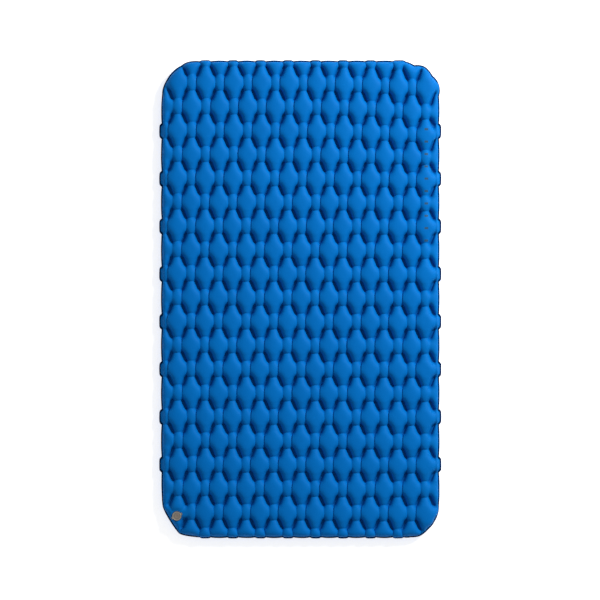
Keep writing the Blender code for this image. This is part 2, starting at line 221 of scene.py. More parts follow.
def corner_knots(corner):
    """One corner's notches, counter-clockwise, and the bulges between them."""
    sx, sy = corner
    points = [(sx * (SEAM_X - dx), sy * (SEAM_Y - dy)) for dx, dy in CORNER_NOTCHES[corner]]
    bulges = list(CORNER_BULGES[corner])
    if sx * sy < 0:
        points.reverse()
        bulges.reverse()
    return points, bulges


def straight_knots(start, goal, along, edge, half, bump, bulge):
    """Notches at both ends of each neck between two corners, with what follows each."""
    low, high = sorted((start[along], goal[along]))
    if along == 1:
        centres = [row_y(m) for m in range(ROWS + 1) if not is_cell(edge, m)]
    else:
        centres = [column_x(i) for i in range(COLUMNS + 1) if not is_cell(i, edge)]
    inside = [c for c in centres if low - KNOT_SLACK < c - half and c + half < high + KNOT_SLACK]
    sense = 1 if goal[along] > start[along] else -1
    knots = []
    for centre in sorted(inside, reverse=sense < 0):
        for end, kind, size in ((-1, neck_bump, bump), (1, lobe, bulge)):
            point = [start[0], start[1]]
            point[along] = centre + end * sense * half
            point[1 - along] = math.copysign((SEAM_X, SEAM_Y)[1 - along], start[1 - along])
            knots.append((tuple(point), kind, size))
    return knots


def seam_loop():
    """The closed seam as points about 2 mm apart, counter-clockwise."""
    corners = ((1, -1), (1, 1), (-1, 1), (-1, -1))
    knots = []
    for k, corner in enumerate(corners):
        points, bulges = corner_knots(corner)
        after = corners[(k + 1) % 4]
        goal = corner_knots(after)[0][0]
        on_side = corner[0] == after[0]
        bulge = SIDE_BULGE if on_side else END_BULGE
        knots += [(p, lobe, b) for p, b in zip(points, bulges + [bulge])]
        if on_side:
            edge = 0 if corner[0] < 0 else COLUMNS
            knots += straight_knots(points[-1], goal, 1, edge, NECK_REACH, SIDE_NECK_BUMP, bulge)
        else:
            edge = 0 if corner[1] > 0 else ROWS
            knots += straight_knots(points[-1], goal, 0, edge, NECK_HALF, END_NECK_BUMP, bulge)
    kept = []
    for point, kind, size in knots:
        if kept and math.dist(point, kept[-1][0]) < KNOT_GAP:
            kept[-1] = (kept[-1][0], kind, size)
        else:
            kept.append((point, kind, size))
    if math.dist(kept[0][0], kept[-1][0]) < KNOT_GAP:
        kept.pop()
    pieces = []
    for (point, kind, size), (goal, _, _) in zip(kept, kept[1:] + kept[:1]):
        if math.dist(point, goal) < SHORT_LOBE and kind is lobe:
            size *= SHORT_LOBE_SHARE
        pieces.append(kind(point, goal, size))
    return np.concatenate(pieces)


def inside_loop(points, loop):
    """Which of many points lie inside the closed loop."""
    px, py = points[..., 0], points[..., 1]
    inside = np.zeros(px.shape, bool)
    for (x0, y0), (x1, y1) in zip(loop, np.roll(loop, -1, 0)):
        if y0 != y1:
            crosses = (y0 > py) != (y1 > py)
            inside ^= crosses & (px < (x1 - x0) * (py - y0) / (y1 - y0) + x0)
    return inside


def nearest_on_loop(points, loop):
    """For each point, the nearest loop point's index and how far it is."""
    index = np.empty(len(points), int)
    away = np.empty(len(points))
    for k in range(0, len(points), 1000):
        gap = ((points[k:k + 1000, None] - loop[None]) ** 2).sum(-1)
        index[k:k + 1000] = gap.argmin(1)
        away[k:k + 1000] = np.sqrt(gap.min(1))
    return index, away


# ---- the flat grid ----
def grid_lines():
    """The kind, row and place of each line across the mat, from the head to the foot."""
    lines = [("head", 0, k / END_STEPS) for k in range(END_STEPS)]
    for m in range(ROWS):
        lines += [("weld", m, k / WELD_STEPS) for k in range(WELD_STEPS)]
        if m < ROWS - 1:
            lines += [("gap", m + 1, k / GAP_STEPS) for k in range(GAP_STEPS)]
    lines.append(("weld", ROWS - 1, 1.0))
    lines += [("foot", ROWS, k / END_STEPS) for k in range(1, END_STEPS + 1)]
    return lines


def line_height(kind, m, t):
    """Y of a grid line."""
    if kind == "weld":
        return row_y(m) - NECK_REACH - t * (ROW_PITCH - 2 * NECK_REACH)
    if kind == "gap":
        return row_y(m) + NECK_REACH * (1 - 2 * t)
    if kind == "head":
        return SEAM_Y + (row_y(0) - NECK_REACH - SEAM_Y) * t
    return row_y(ROWS) + NECK_REACH - (SEAM_Y + row_y(ROWS) + NECK_REACH) * t


def flat_grid():
    """Plan of every grid point, and each weld as (its lines, its column)."""
    lines = grid_lines()
    edges = np.zeros((len(lines), COLUMNS + 2))
    edges[:, 0] = -SEAM_X
    edges[:, -1] = SEAM_X
    for j, (kind, m, t) in enumerate(lines):
        for i in range(COLUMNS):
            upper, lower = (CELL_HALF, NECK_HALF) if is_cell(i, m) else (NECK_HALF, CELL_HALF)
            slant = (lower - upper) * t if kind == "weld" else 0.0
            edges[j, i + 1] = column_x(i) + upper + slant
    strips = []
    for c in range(COLUMNS + 1):
        start = edges[:, c:c + 1] + (WELD_HALF if c > 0 else 0)
        stop = edges[:, c + 1:c + 2] - (WELD_HALF if c < COLUMNS else 0)
        t = np.linspace(0, 1, HALF_STEPS if c in (0, COLUMNS) else COLUMN_STEPS - 1)
        strips += [start * (1 - t) + stop * t, edges[:, c + 1:c + 2]]
    x = np.hstack(strips[:-1])
    heights = np.array([line_height(*line) for line in lines])
    plan = np.stack([x, np.tile(heights[:, None], (1, x.shape[1]))], -1)
    welds = []
    for m in range(ROWS):
        first = END_STEPS + m * (WELD_STEPS + GAP_STEPS)
        for i in range(COLUMNS):
            welds.append((np.arange(first, first + WELD_STEPS + 1), HALF_STEPS + COLUMN_STEPS * i))
    return plan, welds


def patchy(rng, shape, channels):
    """Smooth random values with one patch for each cell, for a grid of this shape."""
    rows, cols = shape
    last = 1.999  # just inside the outermost patches
    patches = rng.normal(0.0, 1.0, (ROWS + 3, COLUMNS + 3, channels))
    row = (np.arange(rows) - END_STEPS - WELD_STEPS) / (WELD_STEPS + GAP_STEPS) + 1
    column = (np.arange(cols) - HALF_STEPS) / COLUMN_STEPS + 1
    j = np.clip(row, 0, ROWS + last)
    i = np.clip(column, 0, COLUMNS + last)
    j0, i0 = j.astype(int), i.astype(int)
    fj = (j - j0)[:, None, None]
    fi = (i - i0)[None, :, None]
    above = patches[j0][:, i0] * (1 - fi) + patches[j0][:, i0 + 1] * fi
    below = patches[j0 + 1][:, i0] * (1 - fi) + patches[j0 + 1][:, i0 + 1] * fi
    return above * (1 - fj) + below * fj


def swell(value, middle, width):
    """1 at the middle, falling off smoothly over the width."""
    return np.exp(-((value - middle) / width) ** 2)


def skewed(plan, rng):
    """The weld pattern as it really lies: pulled a little out of line by the inflation.

    Its upper half leans to +X, most at the middle. Near the valve it is pulled to +X as well. It
    turns a little as a whole, and its rows sink in the upper right corner.
    """
    u = plan[..., 0] / HALF_WIDTH
    v = plan[..., 1] / HALF_LENGTH
    rise = np.clip((v - 0.1) / 0.8, 0, 1)
    rise = rise * rise * (3 - 2 * rise)
    dx = -0.0030 + 0.0085 * rise * swell(u, -0.05, 0.8)
    dx += 0.0060 * swell(u, -0.9, 0.25) * swell(v, -0.65, 0.25)
    dy = -0.0035 * u - 0.017 * swell(u, 0.95, 0.45) * swell(v, 0.85, 0.28)
    shift = np.stack([dx, dy], -1) + PATTERN_SPREAD * patchy(rng, plan.shape[:2], 2)
    inside = np.minimum(SEAM_X - np.abs(plan[..., 0]), SEAM_Y - np.abs(plan[..., 1]))
    return plan + shift * np.clip(inside / SEAM_FADE, 0, 1)[..., None]


def quads_at_points(quads):
    """How many kept quads meet at each grid point."""
    ring = np.pad(quads, 1).astype(int)
    return ring[:-1, :-1] + ring[1:, :-1] + ring[:-1, 1:] + ring[1:, 1:]


class Sheet:
    """A flat sheet: its grid, which quads it keeps, and which points are held."""

    def __init__(self, loop, rng):
        self.loop = loop
        self.plan, welds = flat_grid()
        self.plan = skewed(self.plan, rng)
        self.cut_corners()
        self.hold_welds(welds)
        self.fit_edge()
        self.pad = np.zeros(self.used.shape, bool)

    def near_corner(self, points, reach):
        """Points within reach of a corner, both ways."""
        return ((np.abs(points[..., 0]) > SEAM_X - reach)
                & (np.abs(points[..., 1]) > SEAM_Y - reach))

    def cut_corners(self):
        """Leave out the quads beyond the round corners, then those that hang on by one side."""
        plan = self.plan
        middle = (plan[:-1, :-1] + plan[1:, :-1] + plan[:-1, 1:] + plan[1:, 1:]) / 4
        self.quads = np.ones(middle.shape[:2], bool)
        corner = self.near_corner(middle, CUT_REACH)
        self.quads[corner] = inside_loop(middle[corner], self.loop)
        for _ in range(3):
            ring = np.pad(self.quads, 1).astype(int)
            sides = ring[:-2, 1:-1] + ring[2:, 1:-1] + ring[1:-1, :-2] + ring[1:-1, 2:]
            self.quads &= sides >= 2
        count = quads_at_points(self.quads)
        self.used = count > 0
        self.edge = self.used & (count < 4)

    def hold_welds(self, welds):
        """Mark the welds, as far as they lie well inside the seam."""
        self.held = np.zeros(self.used.shape, bool)
        for rows, column in welds:
            line = self.plan[rows, column]
            inside = self.used[rows, column]
            if self.near_corner(line, WELD_REACH).any():
                inside = inside & inside_loop(line, self.loop)
            inside = inside & (nearest_on_loop(line, self.loop)[1] > WELD_MARGIN)
            rows = rows[inside]
            if len(rows) >= WELD_STEPS // 2:
                self.held[rows, column] = True
                self.held[rows[1:-1], column - 1] = True
                self.held[rows[1:-1], column + 1] = True

    def painted_weld_shade(self):
        """Painted shade of the weld grooves: 1 on the welds, fading out beside them."""
        weld_core = self.held.astype(float)
        shade_spread = weld_core.copy()
        for axis, share in WELD_SHADE_BESIDE:
            for shift in (-1, 1):
                shade_spread = np.maximum(shade_spread, share * np.roll(weld_core, shift, axis))
        return shade_spread

    def edge_neighbours(self):
        """The two points beside each edge point along the edge, near the corners."""
        rows, cols = self.plan.shape[:2]
        quads = np.pad(self.quads, 1)
        found = []
        for j, i in np.argwhere(self.edge & self.near_corner(self.plan, EVEN_REACH)):
            beside = []
            for dj, di in ((0, 1), (1, 0), (0, -1), (-1, 0)):
                a, b = j + dj, i + di
                if not (0 <= a < rows and 0 <= b < cols and self.edge[a, b]):
                    continue
                if dj == 0:
                    shared = (quads[j, min(i, b) + 1], quads[j + 1, min(i, b) + 1])
                else:
                    shared = (quads[min(j, a) + 1, i], quads[min(j, a) + 1, i + 1])
                if sum(shared) == 1:
                    beside.append((a, b))
            if len(beside) == 2:
                found.append(((j, i), *beside))
        return [tuple(np.array(group).T) for group in zip(*found)]

    def fit_edge(self):
        """Bring the edge onto the seam and even out the plan near the corners."""
        plan = self.plan
        plan[self.edge] = self.loop[nearest_on_loop(plan[self.edge], self.loop)[0]]
        inner = self.used & ~self.edge & ~self.held & self.near_corner(plan, EVEN_REACH)
        movable = np.zeros(inner.shape, bool)
        movable[inner] = nearest_on_loop(plan[inner], self.loop)[1] < EVEN_DEPTH
        here, before, after = self.edge_neighbours()
        for k in range(EVEN_PASSES):
            self.even_out(movable)
            if k % 4 == 3:
                middle = (plan[tuple(before)] + plan[tuple(after)]) / 2
                moved = (plan[tuple(here)] + middle) / 2
                plan[tuple(here)] = self.loop[nearest_on_loop(moved, self.loop)[0]]

    def even_out(self, movable):
        """Move points half the way to the mean of their four neighbours."""
        plan = self.plan
        mean = plan.copy()
        mean[1:-1, 1:-1] = (plan[:-2, 1:-1] + plan[2:, 1:-1]
                            + plan[1:-1, :-2] + plan[1:-1, 2:]) / 4
        plan[movable] += 0.5 * (mean[movable] - plan[movable])

    def open_for_valve(self):
        """Turn the grid round the valve into rings: a hole, and a flat pad outside it."""
        plan = self.plan
        rows, cols = self.used.shape
        away = np.hypot(plan[..., 0] - VALVE.x, plan[..., 1] - VALVE.y)
        j0, i0 = np.unravel_index(away.argmin(), away.shape)
        down, right = np.meshgrid(np.arange(rows) - j0, np.arange(cols) - i0, indexing="ij")
        ring = np.maximum(np.abs(down), np.abs(right))
        u, v = right / np.maximum(ring, 1), -down / np.maximum(ring, 1)
        across = np.where(u > 0, v * 45, 180 - v * 45)
        upright = np.where(v > 0, 90 - u * 45, 270 + u * 45)
        angle = np.radians(np.where(np.abs(u) >= np.abs(v), across, upright))
        last = len(PAD_RINGS) - 1
        radii = np.array(PAD_RINGS + (PAD_RINGS[-1] + PAD_BLEND,))
        radius = radii[np.clip(ring, 0, last + 1)]
        rings = np.stack([VALVE.x + radius * np.cos(angle), VALVE.y + radius * np.sin(angle)], -1)
        share = np.clip((last + 2 - ring) / 2, 0, 1)[..., None]
        free = ~self.held & ~self.edge
        near = (ring > 0) & (ring <= last + 1) & free
        plan[near] = (rings * share + plan * (1 - share))[near]
        around = (ring > last) & (ring <= last + 4) & free
        for _ in range(PAD_PASSES):
            self.even_out(around)
        self.pad = (ring <= last) & free
        centre_ring = np.maximum(np.abs(down[:-1, :-1] + 0.5), np.abs(right[:-1, :-1] + 0.5))
        self.quads &= centre_ring > HOLE_RING


# ---- inflation ----
class Threads:
    """Lengths that the cloth keeps between points (dj, di) apart on the grid.

    They are held in separate groups, so that no point is moved twice at once. stretch and
    squeeze are the shares of a wrong length that one pass puts right.
    """

    def __init__(self, sheet, weight, ease, step, stretch, squeeze):
        dj, di = step
        rows, cols = weight.shape
        self.stretch = stretch
        self.squeeze = squeeze
        self.groups = []
        reach = max(dj, abs(di))
        low_i = max(0, -di)
        high_i = cols - max(0, di)
        for k in range(2 * reach):
            if dj:
                a = (slice(k, rows - dj, 2 * reach), slice(low_i, high_i))
                b = (slice(k + dj, rows, 2 * reach), slice(low_i + di, high_i + di))
            else:
                a = (slice(None), slice(k, cols - di, 2 * reach))
                b = (slice(None), slice(k + di, cols, 2 * reach))
            flat = (sheet.plan[b] - sheet.plan[a]) * (ease[a] + ease[b]) / 2
            rest = np.hypot(flat[..., 0], flat[..., 1]).astype(np.float32)
            both = sheet.used[a] & sheet.used[b]
            total = weight[a] + weight[b]
            total[total == 0] = 1
            share_a = (weight[a] * both / total)[..., None].astype(np.float32)
            share_b = (weight[b] * both / total)[..., None].astype(np.float32)
            self.groups.append((a, b, rest, share_a, share_b))

    def pull(self, points):
        for a, b, rest, share_a, share_b in self.groups:
            start, end = points[a], points[b]
            apart = end - start
            length = np.sqrt(np.einsum("jik,jik->ji", apart, apart)) + 1e-9
            wrong = (length - rest) / length
            wrong *= np.where(wrong > 0, self.stretch, self.squeeze)
            apart *= wrong[..., None]
            points[a] = start + apart * share_a
            points[b] = end - apart * share_b


def ease_map(sheet, rng):
    """How much longer the flat fabric is than its plan, across and along, at each point."""
    rows, cols = sheet.used.shape
    ease = np.empty((rows, cols, 2))
    ease[..., 0] = EASE_X
    ease[..., 1] = EASE_Y
    ease += patchy(rng, (rows, cols), 2) * np.array(EASE_SPREAD)
    ease[:, :HALF_STEPS, 0] = SIDE_EASE
    ease[:, cols - HALF_STEPS:, 0] = SIDE_EASE
    ease[:END_STEPS + 1, :, 1] = END_EASE
    ease[rows - 1 - END_STEPS:, :, 1] = END_EASE
    return ease


def seam_waves(loop, rng):
    """Small ups and downs of the welded edge, smooth and closed."""
    turn = 2 * math.pi * np.arange(len(loop)) / len(loop)
    wave = np.zeros(len(loop))
    for cycles in WAVE_CYCLES:
        wave += rng.normal(0, WAVE_HEIGHT) * np.sin(cycles * turn + rng.uniform(0, WAVE_PHASE))
    return wave


def inflate(sheet, waves, seed, steps, start=None):
    """Blow the sheet up from its mid-plane and give its points."""
    rng = np.random.default_rng(seed)
    rows, cols = sheet.used.shape
    held = sheet.held | sheet.edge | sheet.pad | ~sheet.used
    weight = np.where(held, 0.0, 1.0)
    free = ~held
    points = np.zeros((rows, cols, 3), np.float32)
    if start is None:
        points[..., 2] = START_HEIGHT + START_SPREAD * rng.standard_normal((rows, cols))
    else:
        points[..., 2] = start[..., 2]
    points[..., :2] = sheet.plan
    points[held, 2] = 0.0
    points[sheet.pad, 2] = PAD_HEIGHT
    points[sheet.edge, 2] = waves[nearest_on_loop(sheet.plan[sheet.edge], sheet.loop)[0]]
    ease = ease_map(sheet, rng)
    cloth = [Threads(sheet, weight, ease, step, 1.0, SQUEEZE) for step in ((0, 1), (1, 0))]
    cloth += [Threads(sheet, weight, ease, step, SHEAR, SQUEEZE) for step in ((1, 1), (1, -1))]
    # over two steps it only resists being shortened, which keeps its folds round
    stiff = [Threads(sheet, weight, ease, step, 0.0, SQUEEZE) for step in ((0, 2), (2, 0))]
    speed = np.zeros_like(points)
    mobile = weight[..., None].astype(np.float32)
    for k in range(steps):
        across = points[1:-1, 2:] - points[1:-1, :-2]
        along = points[:-2, 1:-1] - points[2:, 1:-1]
        normal = np.cross(across, along)
        normal /= np.sqrt(np.einsum("jik,jik->ji", normal, normal))[..., None] + 1e-12
        speed[1:-1, 1:-1] += normal * (PUSH if k < PUSH_SHARE * steps else LATE_PUSH)
        moved = points + GLIDE * speed * mobile
        for threads in cloth + cloth + stiff:
            threads.pull(moved)
        moved[..., 2] = np.where(free, np.maximum(moved[..., 2], LOWEST), moved[..., 2])
        speed = moved - points
        points = moved
    return points


def softened(z, sheet):
    """Heights with shallower creases where a cell meets the neck beside it."""
    gap = np.array([math.sin(math.pi * t) if kind == "gap" else 0.0 for kind, _, t in grid_lines()])
    free = sheet.used & ~(sheet.held | sheet.edge | sheet.pad)
    share = CREASE_SOFTNESS * gap[:, None] * free
    z = z.copy()
    for _ in range(CREASE_PASSES):
        mean = (z[:, :-2] + 2 * z[:, 1:-1] + z[:, 2:]) / 4
        z[:, 1:-1] += share[:, 1:-1] * (mean - z[:, 1:-1])
    return z


def fitted(points, sheet):
    """Scale the cells so that the highest are as high as the mat, and keep the plug's way free."""
    z = softened(points[..., 2], sheet)
    full = np.percentile(z[sheet.used & ~sheet.pad], FULL_SHARE)
    limit = FULL - TOP_MARGIN
    scaled = z * limit / full
    soft = limit - TOP_SOFTNESS
    over = np.maximum(scaled - soft, 0)
    pressed = soft + (limit - soft) * (1 - np.exp(-over / (limit - soft)))
    scaled = np.where(scaled > soft, pressed, scaled)
    scaled = limit * (1 - (1 - np.clip(scaled / limit, 0, 1)) ** FLATTEN)
    points[..., 2] = np.where(sheet.pad | sheet.edge | (z <= 0), z, scaled)
    lean = np.hypot(points[..., 0] - LEAN_SPOT[0], points[..., 1] - LEAN_SPOT[1])
    points[..., 2] = np.minimum(points[..., 2], LEAN_HEIGHT - MID + LEAN_RISE * lean ** 2)
    return points


# ---- meshes ----
def new_object(name, mesh, material, body, smooth_angle=None):
    """Link a mesh as a piece that rides on a body."""
    piece = bpy.data.objects.new(name, mesh)
    bpy.context.scene.collection.objects.link(piece)
    mesh.materials.append(material)
    mesh.shade_smooth()
    if smooth_angle is not None:
        mesh.set_sharp_from_angle(angle=math.radians(smooth_angle))
    if body is not None:
        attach(piece, body)
    return piece


def fabric_object(name, verts, faces, plan, material):
    """A piece of fabric, with its coordinates before inflation as its UV map, in metres."""
    mesh = bpy.data.meshes.new(name)
    mesh.from_pydata(verts.tolist(), [], faces.tolist())
    flat = plan * np.array([EASE_X, EASE_Y])
    layer = mesh.uv_layers.new(name="fabric")
    layer.data.foreach_set("uv", flat[faces.ravel()].astype(np.float32).ravel())
    return new_object(name, mesh, material, "mat")


def sheet_object(name, sheet, points, side, material):
    """The upper or lower sheet, with the painted shade of its weld grooves as a point attribute."""
    shown = quads_at_points(sheet.quads) > 0
    index = np.full(shown.shape, -1)
    index[shown] = np.arange(shown.sum())
    place = points[shown].astype(float)
    place[:, 2] = MID + side * np.maximum(place[:, 2], SHEET_GAP)
    corners = [index[:-1, :-1], index[1:, :-1], index[1:, 1:], index[:-1, 1:]]
    if side < 0:
        corners.reverse()
    faces = np.stack([c[sheet.quads] for c in corners], -1)
    piece = fabric_object(name, place, faces, sheet.plan[shown], material)
    # painted shade of the weld grooves, read by the fabric material
    painted_weld_shade = piece.data.attributes.new("painted_weld_shade", "FLOAT", "POINT")
    painted_weld_shade.data.foreach_set("value", sheet.painted_weld_shade()[shown].astype(np.float32))
    return piece


def seam_edge(loop, waves, material):
    """The flat welded edge outside the seam: a thin closed strip all round."""
    reach = EDGE_SMOOTHING
    weights = np.hanning(2 * reach + 3)[1:-1]
    weights = weights / weights.sum()
    ring = np.concatenate([loop[-reach:], loop, loop[:reach]])
    smooth = np.stack([np.convolve(ring[:, k], weights, "valid") for k in (0, 1)], -1)
    along = np.roll(smooth, -2, 0) - np.roll(smooth, 2, 0)
    along /= np.hypot(along[:, 0], along[:, 1])[:, None]
    outward = np.stack([along[:, 1], -along[:, 0]], -1)
    verts = []
    for out, up in EDGE_SECTION:
        plan = (loop if out <= 0 else smooth) + outward * out
        lift = waves * (1 + EDGE_WAVE_GAIN * max(out, 0))
        verts.append(np.column_stack([plan, MID + lift + up]))
    verts = np.stack(verts, 1).reshape(-1, 3)
    size = len(EDGE_SECTION)
    faces = []
    for k in range(len(loop)):
        after = (k + 1) % len(loop)
        for n in range(size):
            m = (n + 1) % size
            faces.append((k * size + n, after * size + n, after * size + m, k * size + m))
    fabric_object("seam_edge", verts, np.array(faces), verts[:, :2], material)


# ---- valve ----
# Closed profiles of (radius, height), turned about the valve's axis, as in the CAD model.
BASE_PROFILE = (
    (0.0148, 0.0395), (0.0180, 0.0395), (0.0180, 0.0530), (0.0196, 0.0530), (0.0196, 0.0545),
    (0.0180, 0.0545), (0.0180, 0.0579), (0.0190, 0.0579), (0.0190, 0.0586), (0.0186, 0.0590),
    (0.0163, 0.0590), (0.0148, 0.0503),
)
PLUG_PROFILE = (
    (0.0132, 0.0460), (0.0142, 0.0485), (0.0142, 0.0499), (0.0129, 0.0499), (0.0129, 0.0521),
    (0.0142, 0.0521), (0.0143, 0.0530), (0.0159, 0.0590), (0.0159, 0.0593), (0.0184, 0.0593),
    (0.0187, 0.0596), (0.0187, 0.0607), (0.0184, 0.0610), (0.0092, 0.0610), (0.0084, 0.0575),
    (0.0084, 0.0494), (0.0097, 0.0494), (0.0097, 0.0460),
)
CAP_PROFILE = (
    (0.0, 0.0608), (0.0059, 0.0608), (0.0059, 0.0570), (0.0073, 0.0570), (0.0078, 0.0576),
    (0.0078, 0.0579), (0.00705, 0.0579), (0.00705, 0.0595), (0.0080, 0.0595), (0.0083, 0.0613),
    (0.0176, 0.0613), (0.0178, 0.0616), (0.0178, 0.0633), (0.0175, 0.0636), (0.0160, 0.0636),
    (0.0152, 0.0630), (0.0122, 0.0630), (0.0119, 0.0626), (0.0112, 0.0626), (0.0109, 0.0630),
    (0.0060, 0.0630), (0.0045, 0.0624), (0.0, 0.0624),
)
RING_PROFILE = ((0.0183, 0.0563), (0.0203, 0.0563), (0.0203, 0.0575), (0.0183, 0.0575))
DIAPHRAGM_PROFILE = (
    (0.0, 0.0465), (0.0082, 0.0467), (0.0082, 0.0473), (0.0007, 0.0473), (0.0007, 0.0509),
    (0.0015, 0.0509), (0.0013, 0.0515), (0.0, 0.0519),
)
SEAT_PROFILE = ((0.0064, 0.0476), (0.0094, 0.0476), (0.0094, 0.0490), (0.0064, 0.0490))
HUB_PROFILE = ((0.0010, 0.0476), (0.0021, 0.0476), (0.0021, 0.0490), (0.0010, 0.0490))
PLUG_SEAL = (0.01395, 0.00075, 0.0510)  # radius, radius of the section, height
CAP_SEAL = (0.00790, 0.00055, 0.0587)
RIM_RADIUS = 0.0154  # the cap's rim starts here
ON_AXIS = 1e-6  # a radius below this is the axis itself
ROUNDING = 0.00025  # of moulded corners, and the steps round one
ROUNDING_STEPS = 3
TURNS = 160  # segments round a turned piece
HUB_TURNS = 48
SEAL_STEPS = 16  # round a seal's section
SCALLOPS = 40  # grip dents round a rim
PLUG_GRIP = (0.0180, 0.00022)  # dents beyond this radius, and how deep
CAP_GRIP = (0.0170, 0.00020)
PLUG_TAB = (-0.0250, 0.0175, 0.011, 0.0594, 0.0604)  # reach, start, width, low, high
CAP_TAB = (0.0205, 0.0150, 0.009, 0.0615, 0.0629)
TAB_ARC = 24  # steps round a tab's end
RIDGES = 3  # grip ridges on a tab
RIDGE_PITCH = 0.0011
RIDGE_MARGIN = 0.0012  # from a tab's end to its first ridge
RIDGE_SHARE = 0.52  # of a tab's width
RIDGE_SECTION = (0.0006, 0.0005)  # width, thickness
SPOKES = 4
SPOKE_LINE = (0.0018, 0.0054, 0.0483)  # start, length, height
SPOKE_SECTION = (0.0014, 0.0010)
STRIP_STEPS = 8  # along a ridge or spoke
STRAP_WIDTH = 0.009
LEG_STEPS = 6  # along a strap's straight leg, and round its half turn
TURN_STEPS = 12
SMOOTH_ANGLE = 40  # degrees: sharper edges of the valve stay sharp
# Straps as (distance along the straps' line, height) of the start and of the U-turn's middle,
# then the U-turn's radius, the end and the strap's thickness.
PLUG_STRAP = ((0.0192, 0.0569), (0.0219, 0.05855), 0.00165, (0.0180, 0.0602), 0.0010)
CAP_STRAP = ((-0.0186, 0.0609), (-0.0207, 0.0615), 0.0006, (-0.0170, 0.0621), 0.0008)


def rounded(profile):
    """A closed profile with its corners off the axis turned into small arcs."""
    points = [np.array(p) for p in profile]
    result = []
    for k, here in enumerate(points):
        before, after = points[k - 1] - here, points[(k + 1) % len(points)] - here
        room = min(ROUNDING, 0.4 * np.hypot(*before), 0.4 * np.hypot(*after))
        if here[0] < ON_AXIS:
            result.append(here)
            continue
        start = here + before / np.hypot(*before) * room
        end = here + after / np.hypot(*after) * room
        for n in range(ROUNDING_STEPS + 1):
            t = n / ROUNDING_STEPS
            result.append((1 - t) ** 2 * start + 2 * t * (1 - t) * here + t ** 2 * end)
    return [(float(r), float(z)) for r, z in result]


def add_turned(bm, profile, segments=TURNS, dents=None):
    """Turn a closed profile about Z. dents is (beyond this radius, depth) of a grip rim."""
    rings = []
    for radius, height in profile:
        if radius < ON_AXIS:
            rings.append([bm.verts.new((0.0, 0.0, height))] * segments)
            continue
        ring = []
        for k in range(segments):
            angle = 2 * math.pi * k / segments
            reach = radius
            if dents and radius > dents[0]:
                reach -= dents[1] * (0.5 + 0.5 * math.cos(SCALLOPS * angle))
            ring.append(bm.verts.new((reach * math.cos(angle), reach * math.sin(angle), height)))
        rings.append(ring)
    for low, high in zip(rings, rings[1:] + rings[:1]):
        for k in range(segments):
            after = (k + 1) % segments
            corners = [low[k], low[after], high[after], high[k]]
            unique = [v for n, v in enumerate(corners) if v not in corners[:n]]
            if len(unique) > 2:
                bm.faces.new(unique)


def torus_profile(major, minor, height):
    """The round section of a seal ring."""
    angles = [2 * math.pi * k / SEAL_STEPS for k in range(SEAL_STEPS)]
    return [(major + minor * math.cos(a), height + minor * math.sin(a)) for a in angles]


def add_strip(bm, path, width, thickness):
    """A strap along a path of (along, height) points, with rounded edges and closed ends."""
    path = np.array(path)
    along = np.gradient(path, axis=0)
    along /= np.hypot(along[:, 0], along[:, 1])[:, None]
    side = np.stack([-along[:, 1], along[:, 0]], -1)
    edge = thickness * 0.45
    section = []
    for cy, cz, first in ((1, 1, 0), (-1, 1, 90), (-1, -1, 180), (1, -1, 270)):
        for step in range(4):
            angle = math.radians(first + 30 * step)
            section.append((cy * (width / 2 - edge) + edge * math.cos(angle),
                            cz * (thickness / 2 - edge) + edge * math.sin(angle)))
    rings = []
    for point, out in zip(path, side):
        rings.append([bm.verts.new((point[0] + out[0] * c, a, point[1] + out[1] * c))
                      for a, c in section])
    for low, high in zip(rings, rings[1:]):
        for k in range(len(section)):
            after = (k + 1) % len(section)
            bm.faces.new((low[k], low[after], high[after], high[k]))
    bm.faces.new(rings[0])
    bm.faces.new(rings[-1])


def u_path(start, middle, radius, end):
    """From start along a straight leg, round a half turn, and back along a leg to end."""
    side = 1 if middle[0] > 0 else -1
    leg, back = middle[0] - start[0], end[0] - middle[0]
    path = [(start[0] + leg * k / LEG_STEPS, start[1]) for k in range(LEG_STEPS)]
    for k in range(TURN_STEPS + 1):
        angle = math.radians(-90 + 180 / TURN_STEPS * k)
        out, up = side * radius * math.cos(angle), radius * math.sin(angle)
        path.append((middle[0] + out, middle[1] + up))
    path += [(middle[0] + back * k / LEG_STEPS, end[1]) for k in range(1, LEG_STEPS + 1)]
    return path


def merge(bm, part):
    """Add a finished part to a piece."""
    mesh = bpy.data.meshes.new("part")
    part.to_mesh(mesh)
    part.free()
    bm.from_mesh(mesh)
    bpy.data.meshes.remove(mesh)


def add_tab(bm, reach, start, width, low, high):
    """A round-ended tab with soft edges and grip ridges, along +X or -X."""
    side = 1 if reach > 0 else -1
    end = abs(reach) - width / 2
    plan = [(side * start, -width / 2)]
    for k in range(TAB_ARC + 1):
        angle = math.radians(-90 + 180 / TAB_ARC * k)
        plan.append((side * (end + width / 2 * math.cos(angle)), width / 2 * math.sin(angle)))
    plan.append((side * start, width / 2))
    tab = bmesh.new()
    floor = [tab.verts.new((x, y, low)) for x, y in plan]
    face = tab.faces.new(floor)
    moved = bmesh.ops.extrude_face_region(tab, geom=[face])["geom"]
    bmesh.ops.translate(tab, verts=[v for v in moved if isinstance(v, bmesh.types.BMVert)],
                        vec=(0, 0, high - low))
    bmesh.ops.recalc_face_normals(tab, faces=tab.faces)
    sharp = [e for e in tab.edges if e.calc_face_angle(0) > math.radians(60)]
    bmesh.ops.bevel(tab, geom=sharp, offset=0.3 * (high - low), segments=3, profile=0.5,
                    affect="EDGES")
    merge(bm, tab)
    length = RIDGE_SHARE * width
    for k in range(RIDGES):
        ridge = bmesh.new()
        across = [(length * n / STRIP_STEPS - length / 2, high) for n in range(STRIP_STEPS + 1)]
        add_strip(ridge, across, *RIDGE_SECTION)
        place = side * (abs(reach) - RIDGE_MARGIN - RIDGE_PITCH * k)
        ridge.transform(Matrix.Translation((place, 0, 0)) @ Matrix.Rotation(math.pi / 2, 4, "Z"))
        merge(bm, ridge)


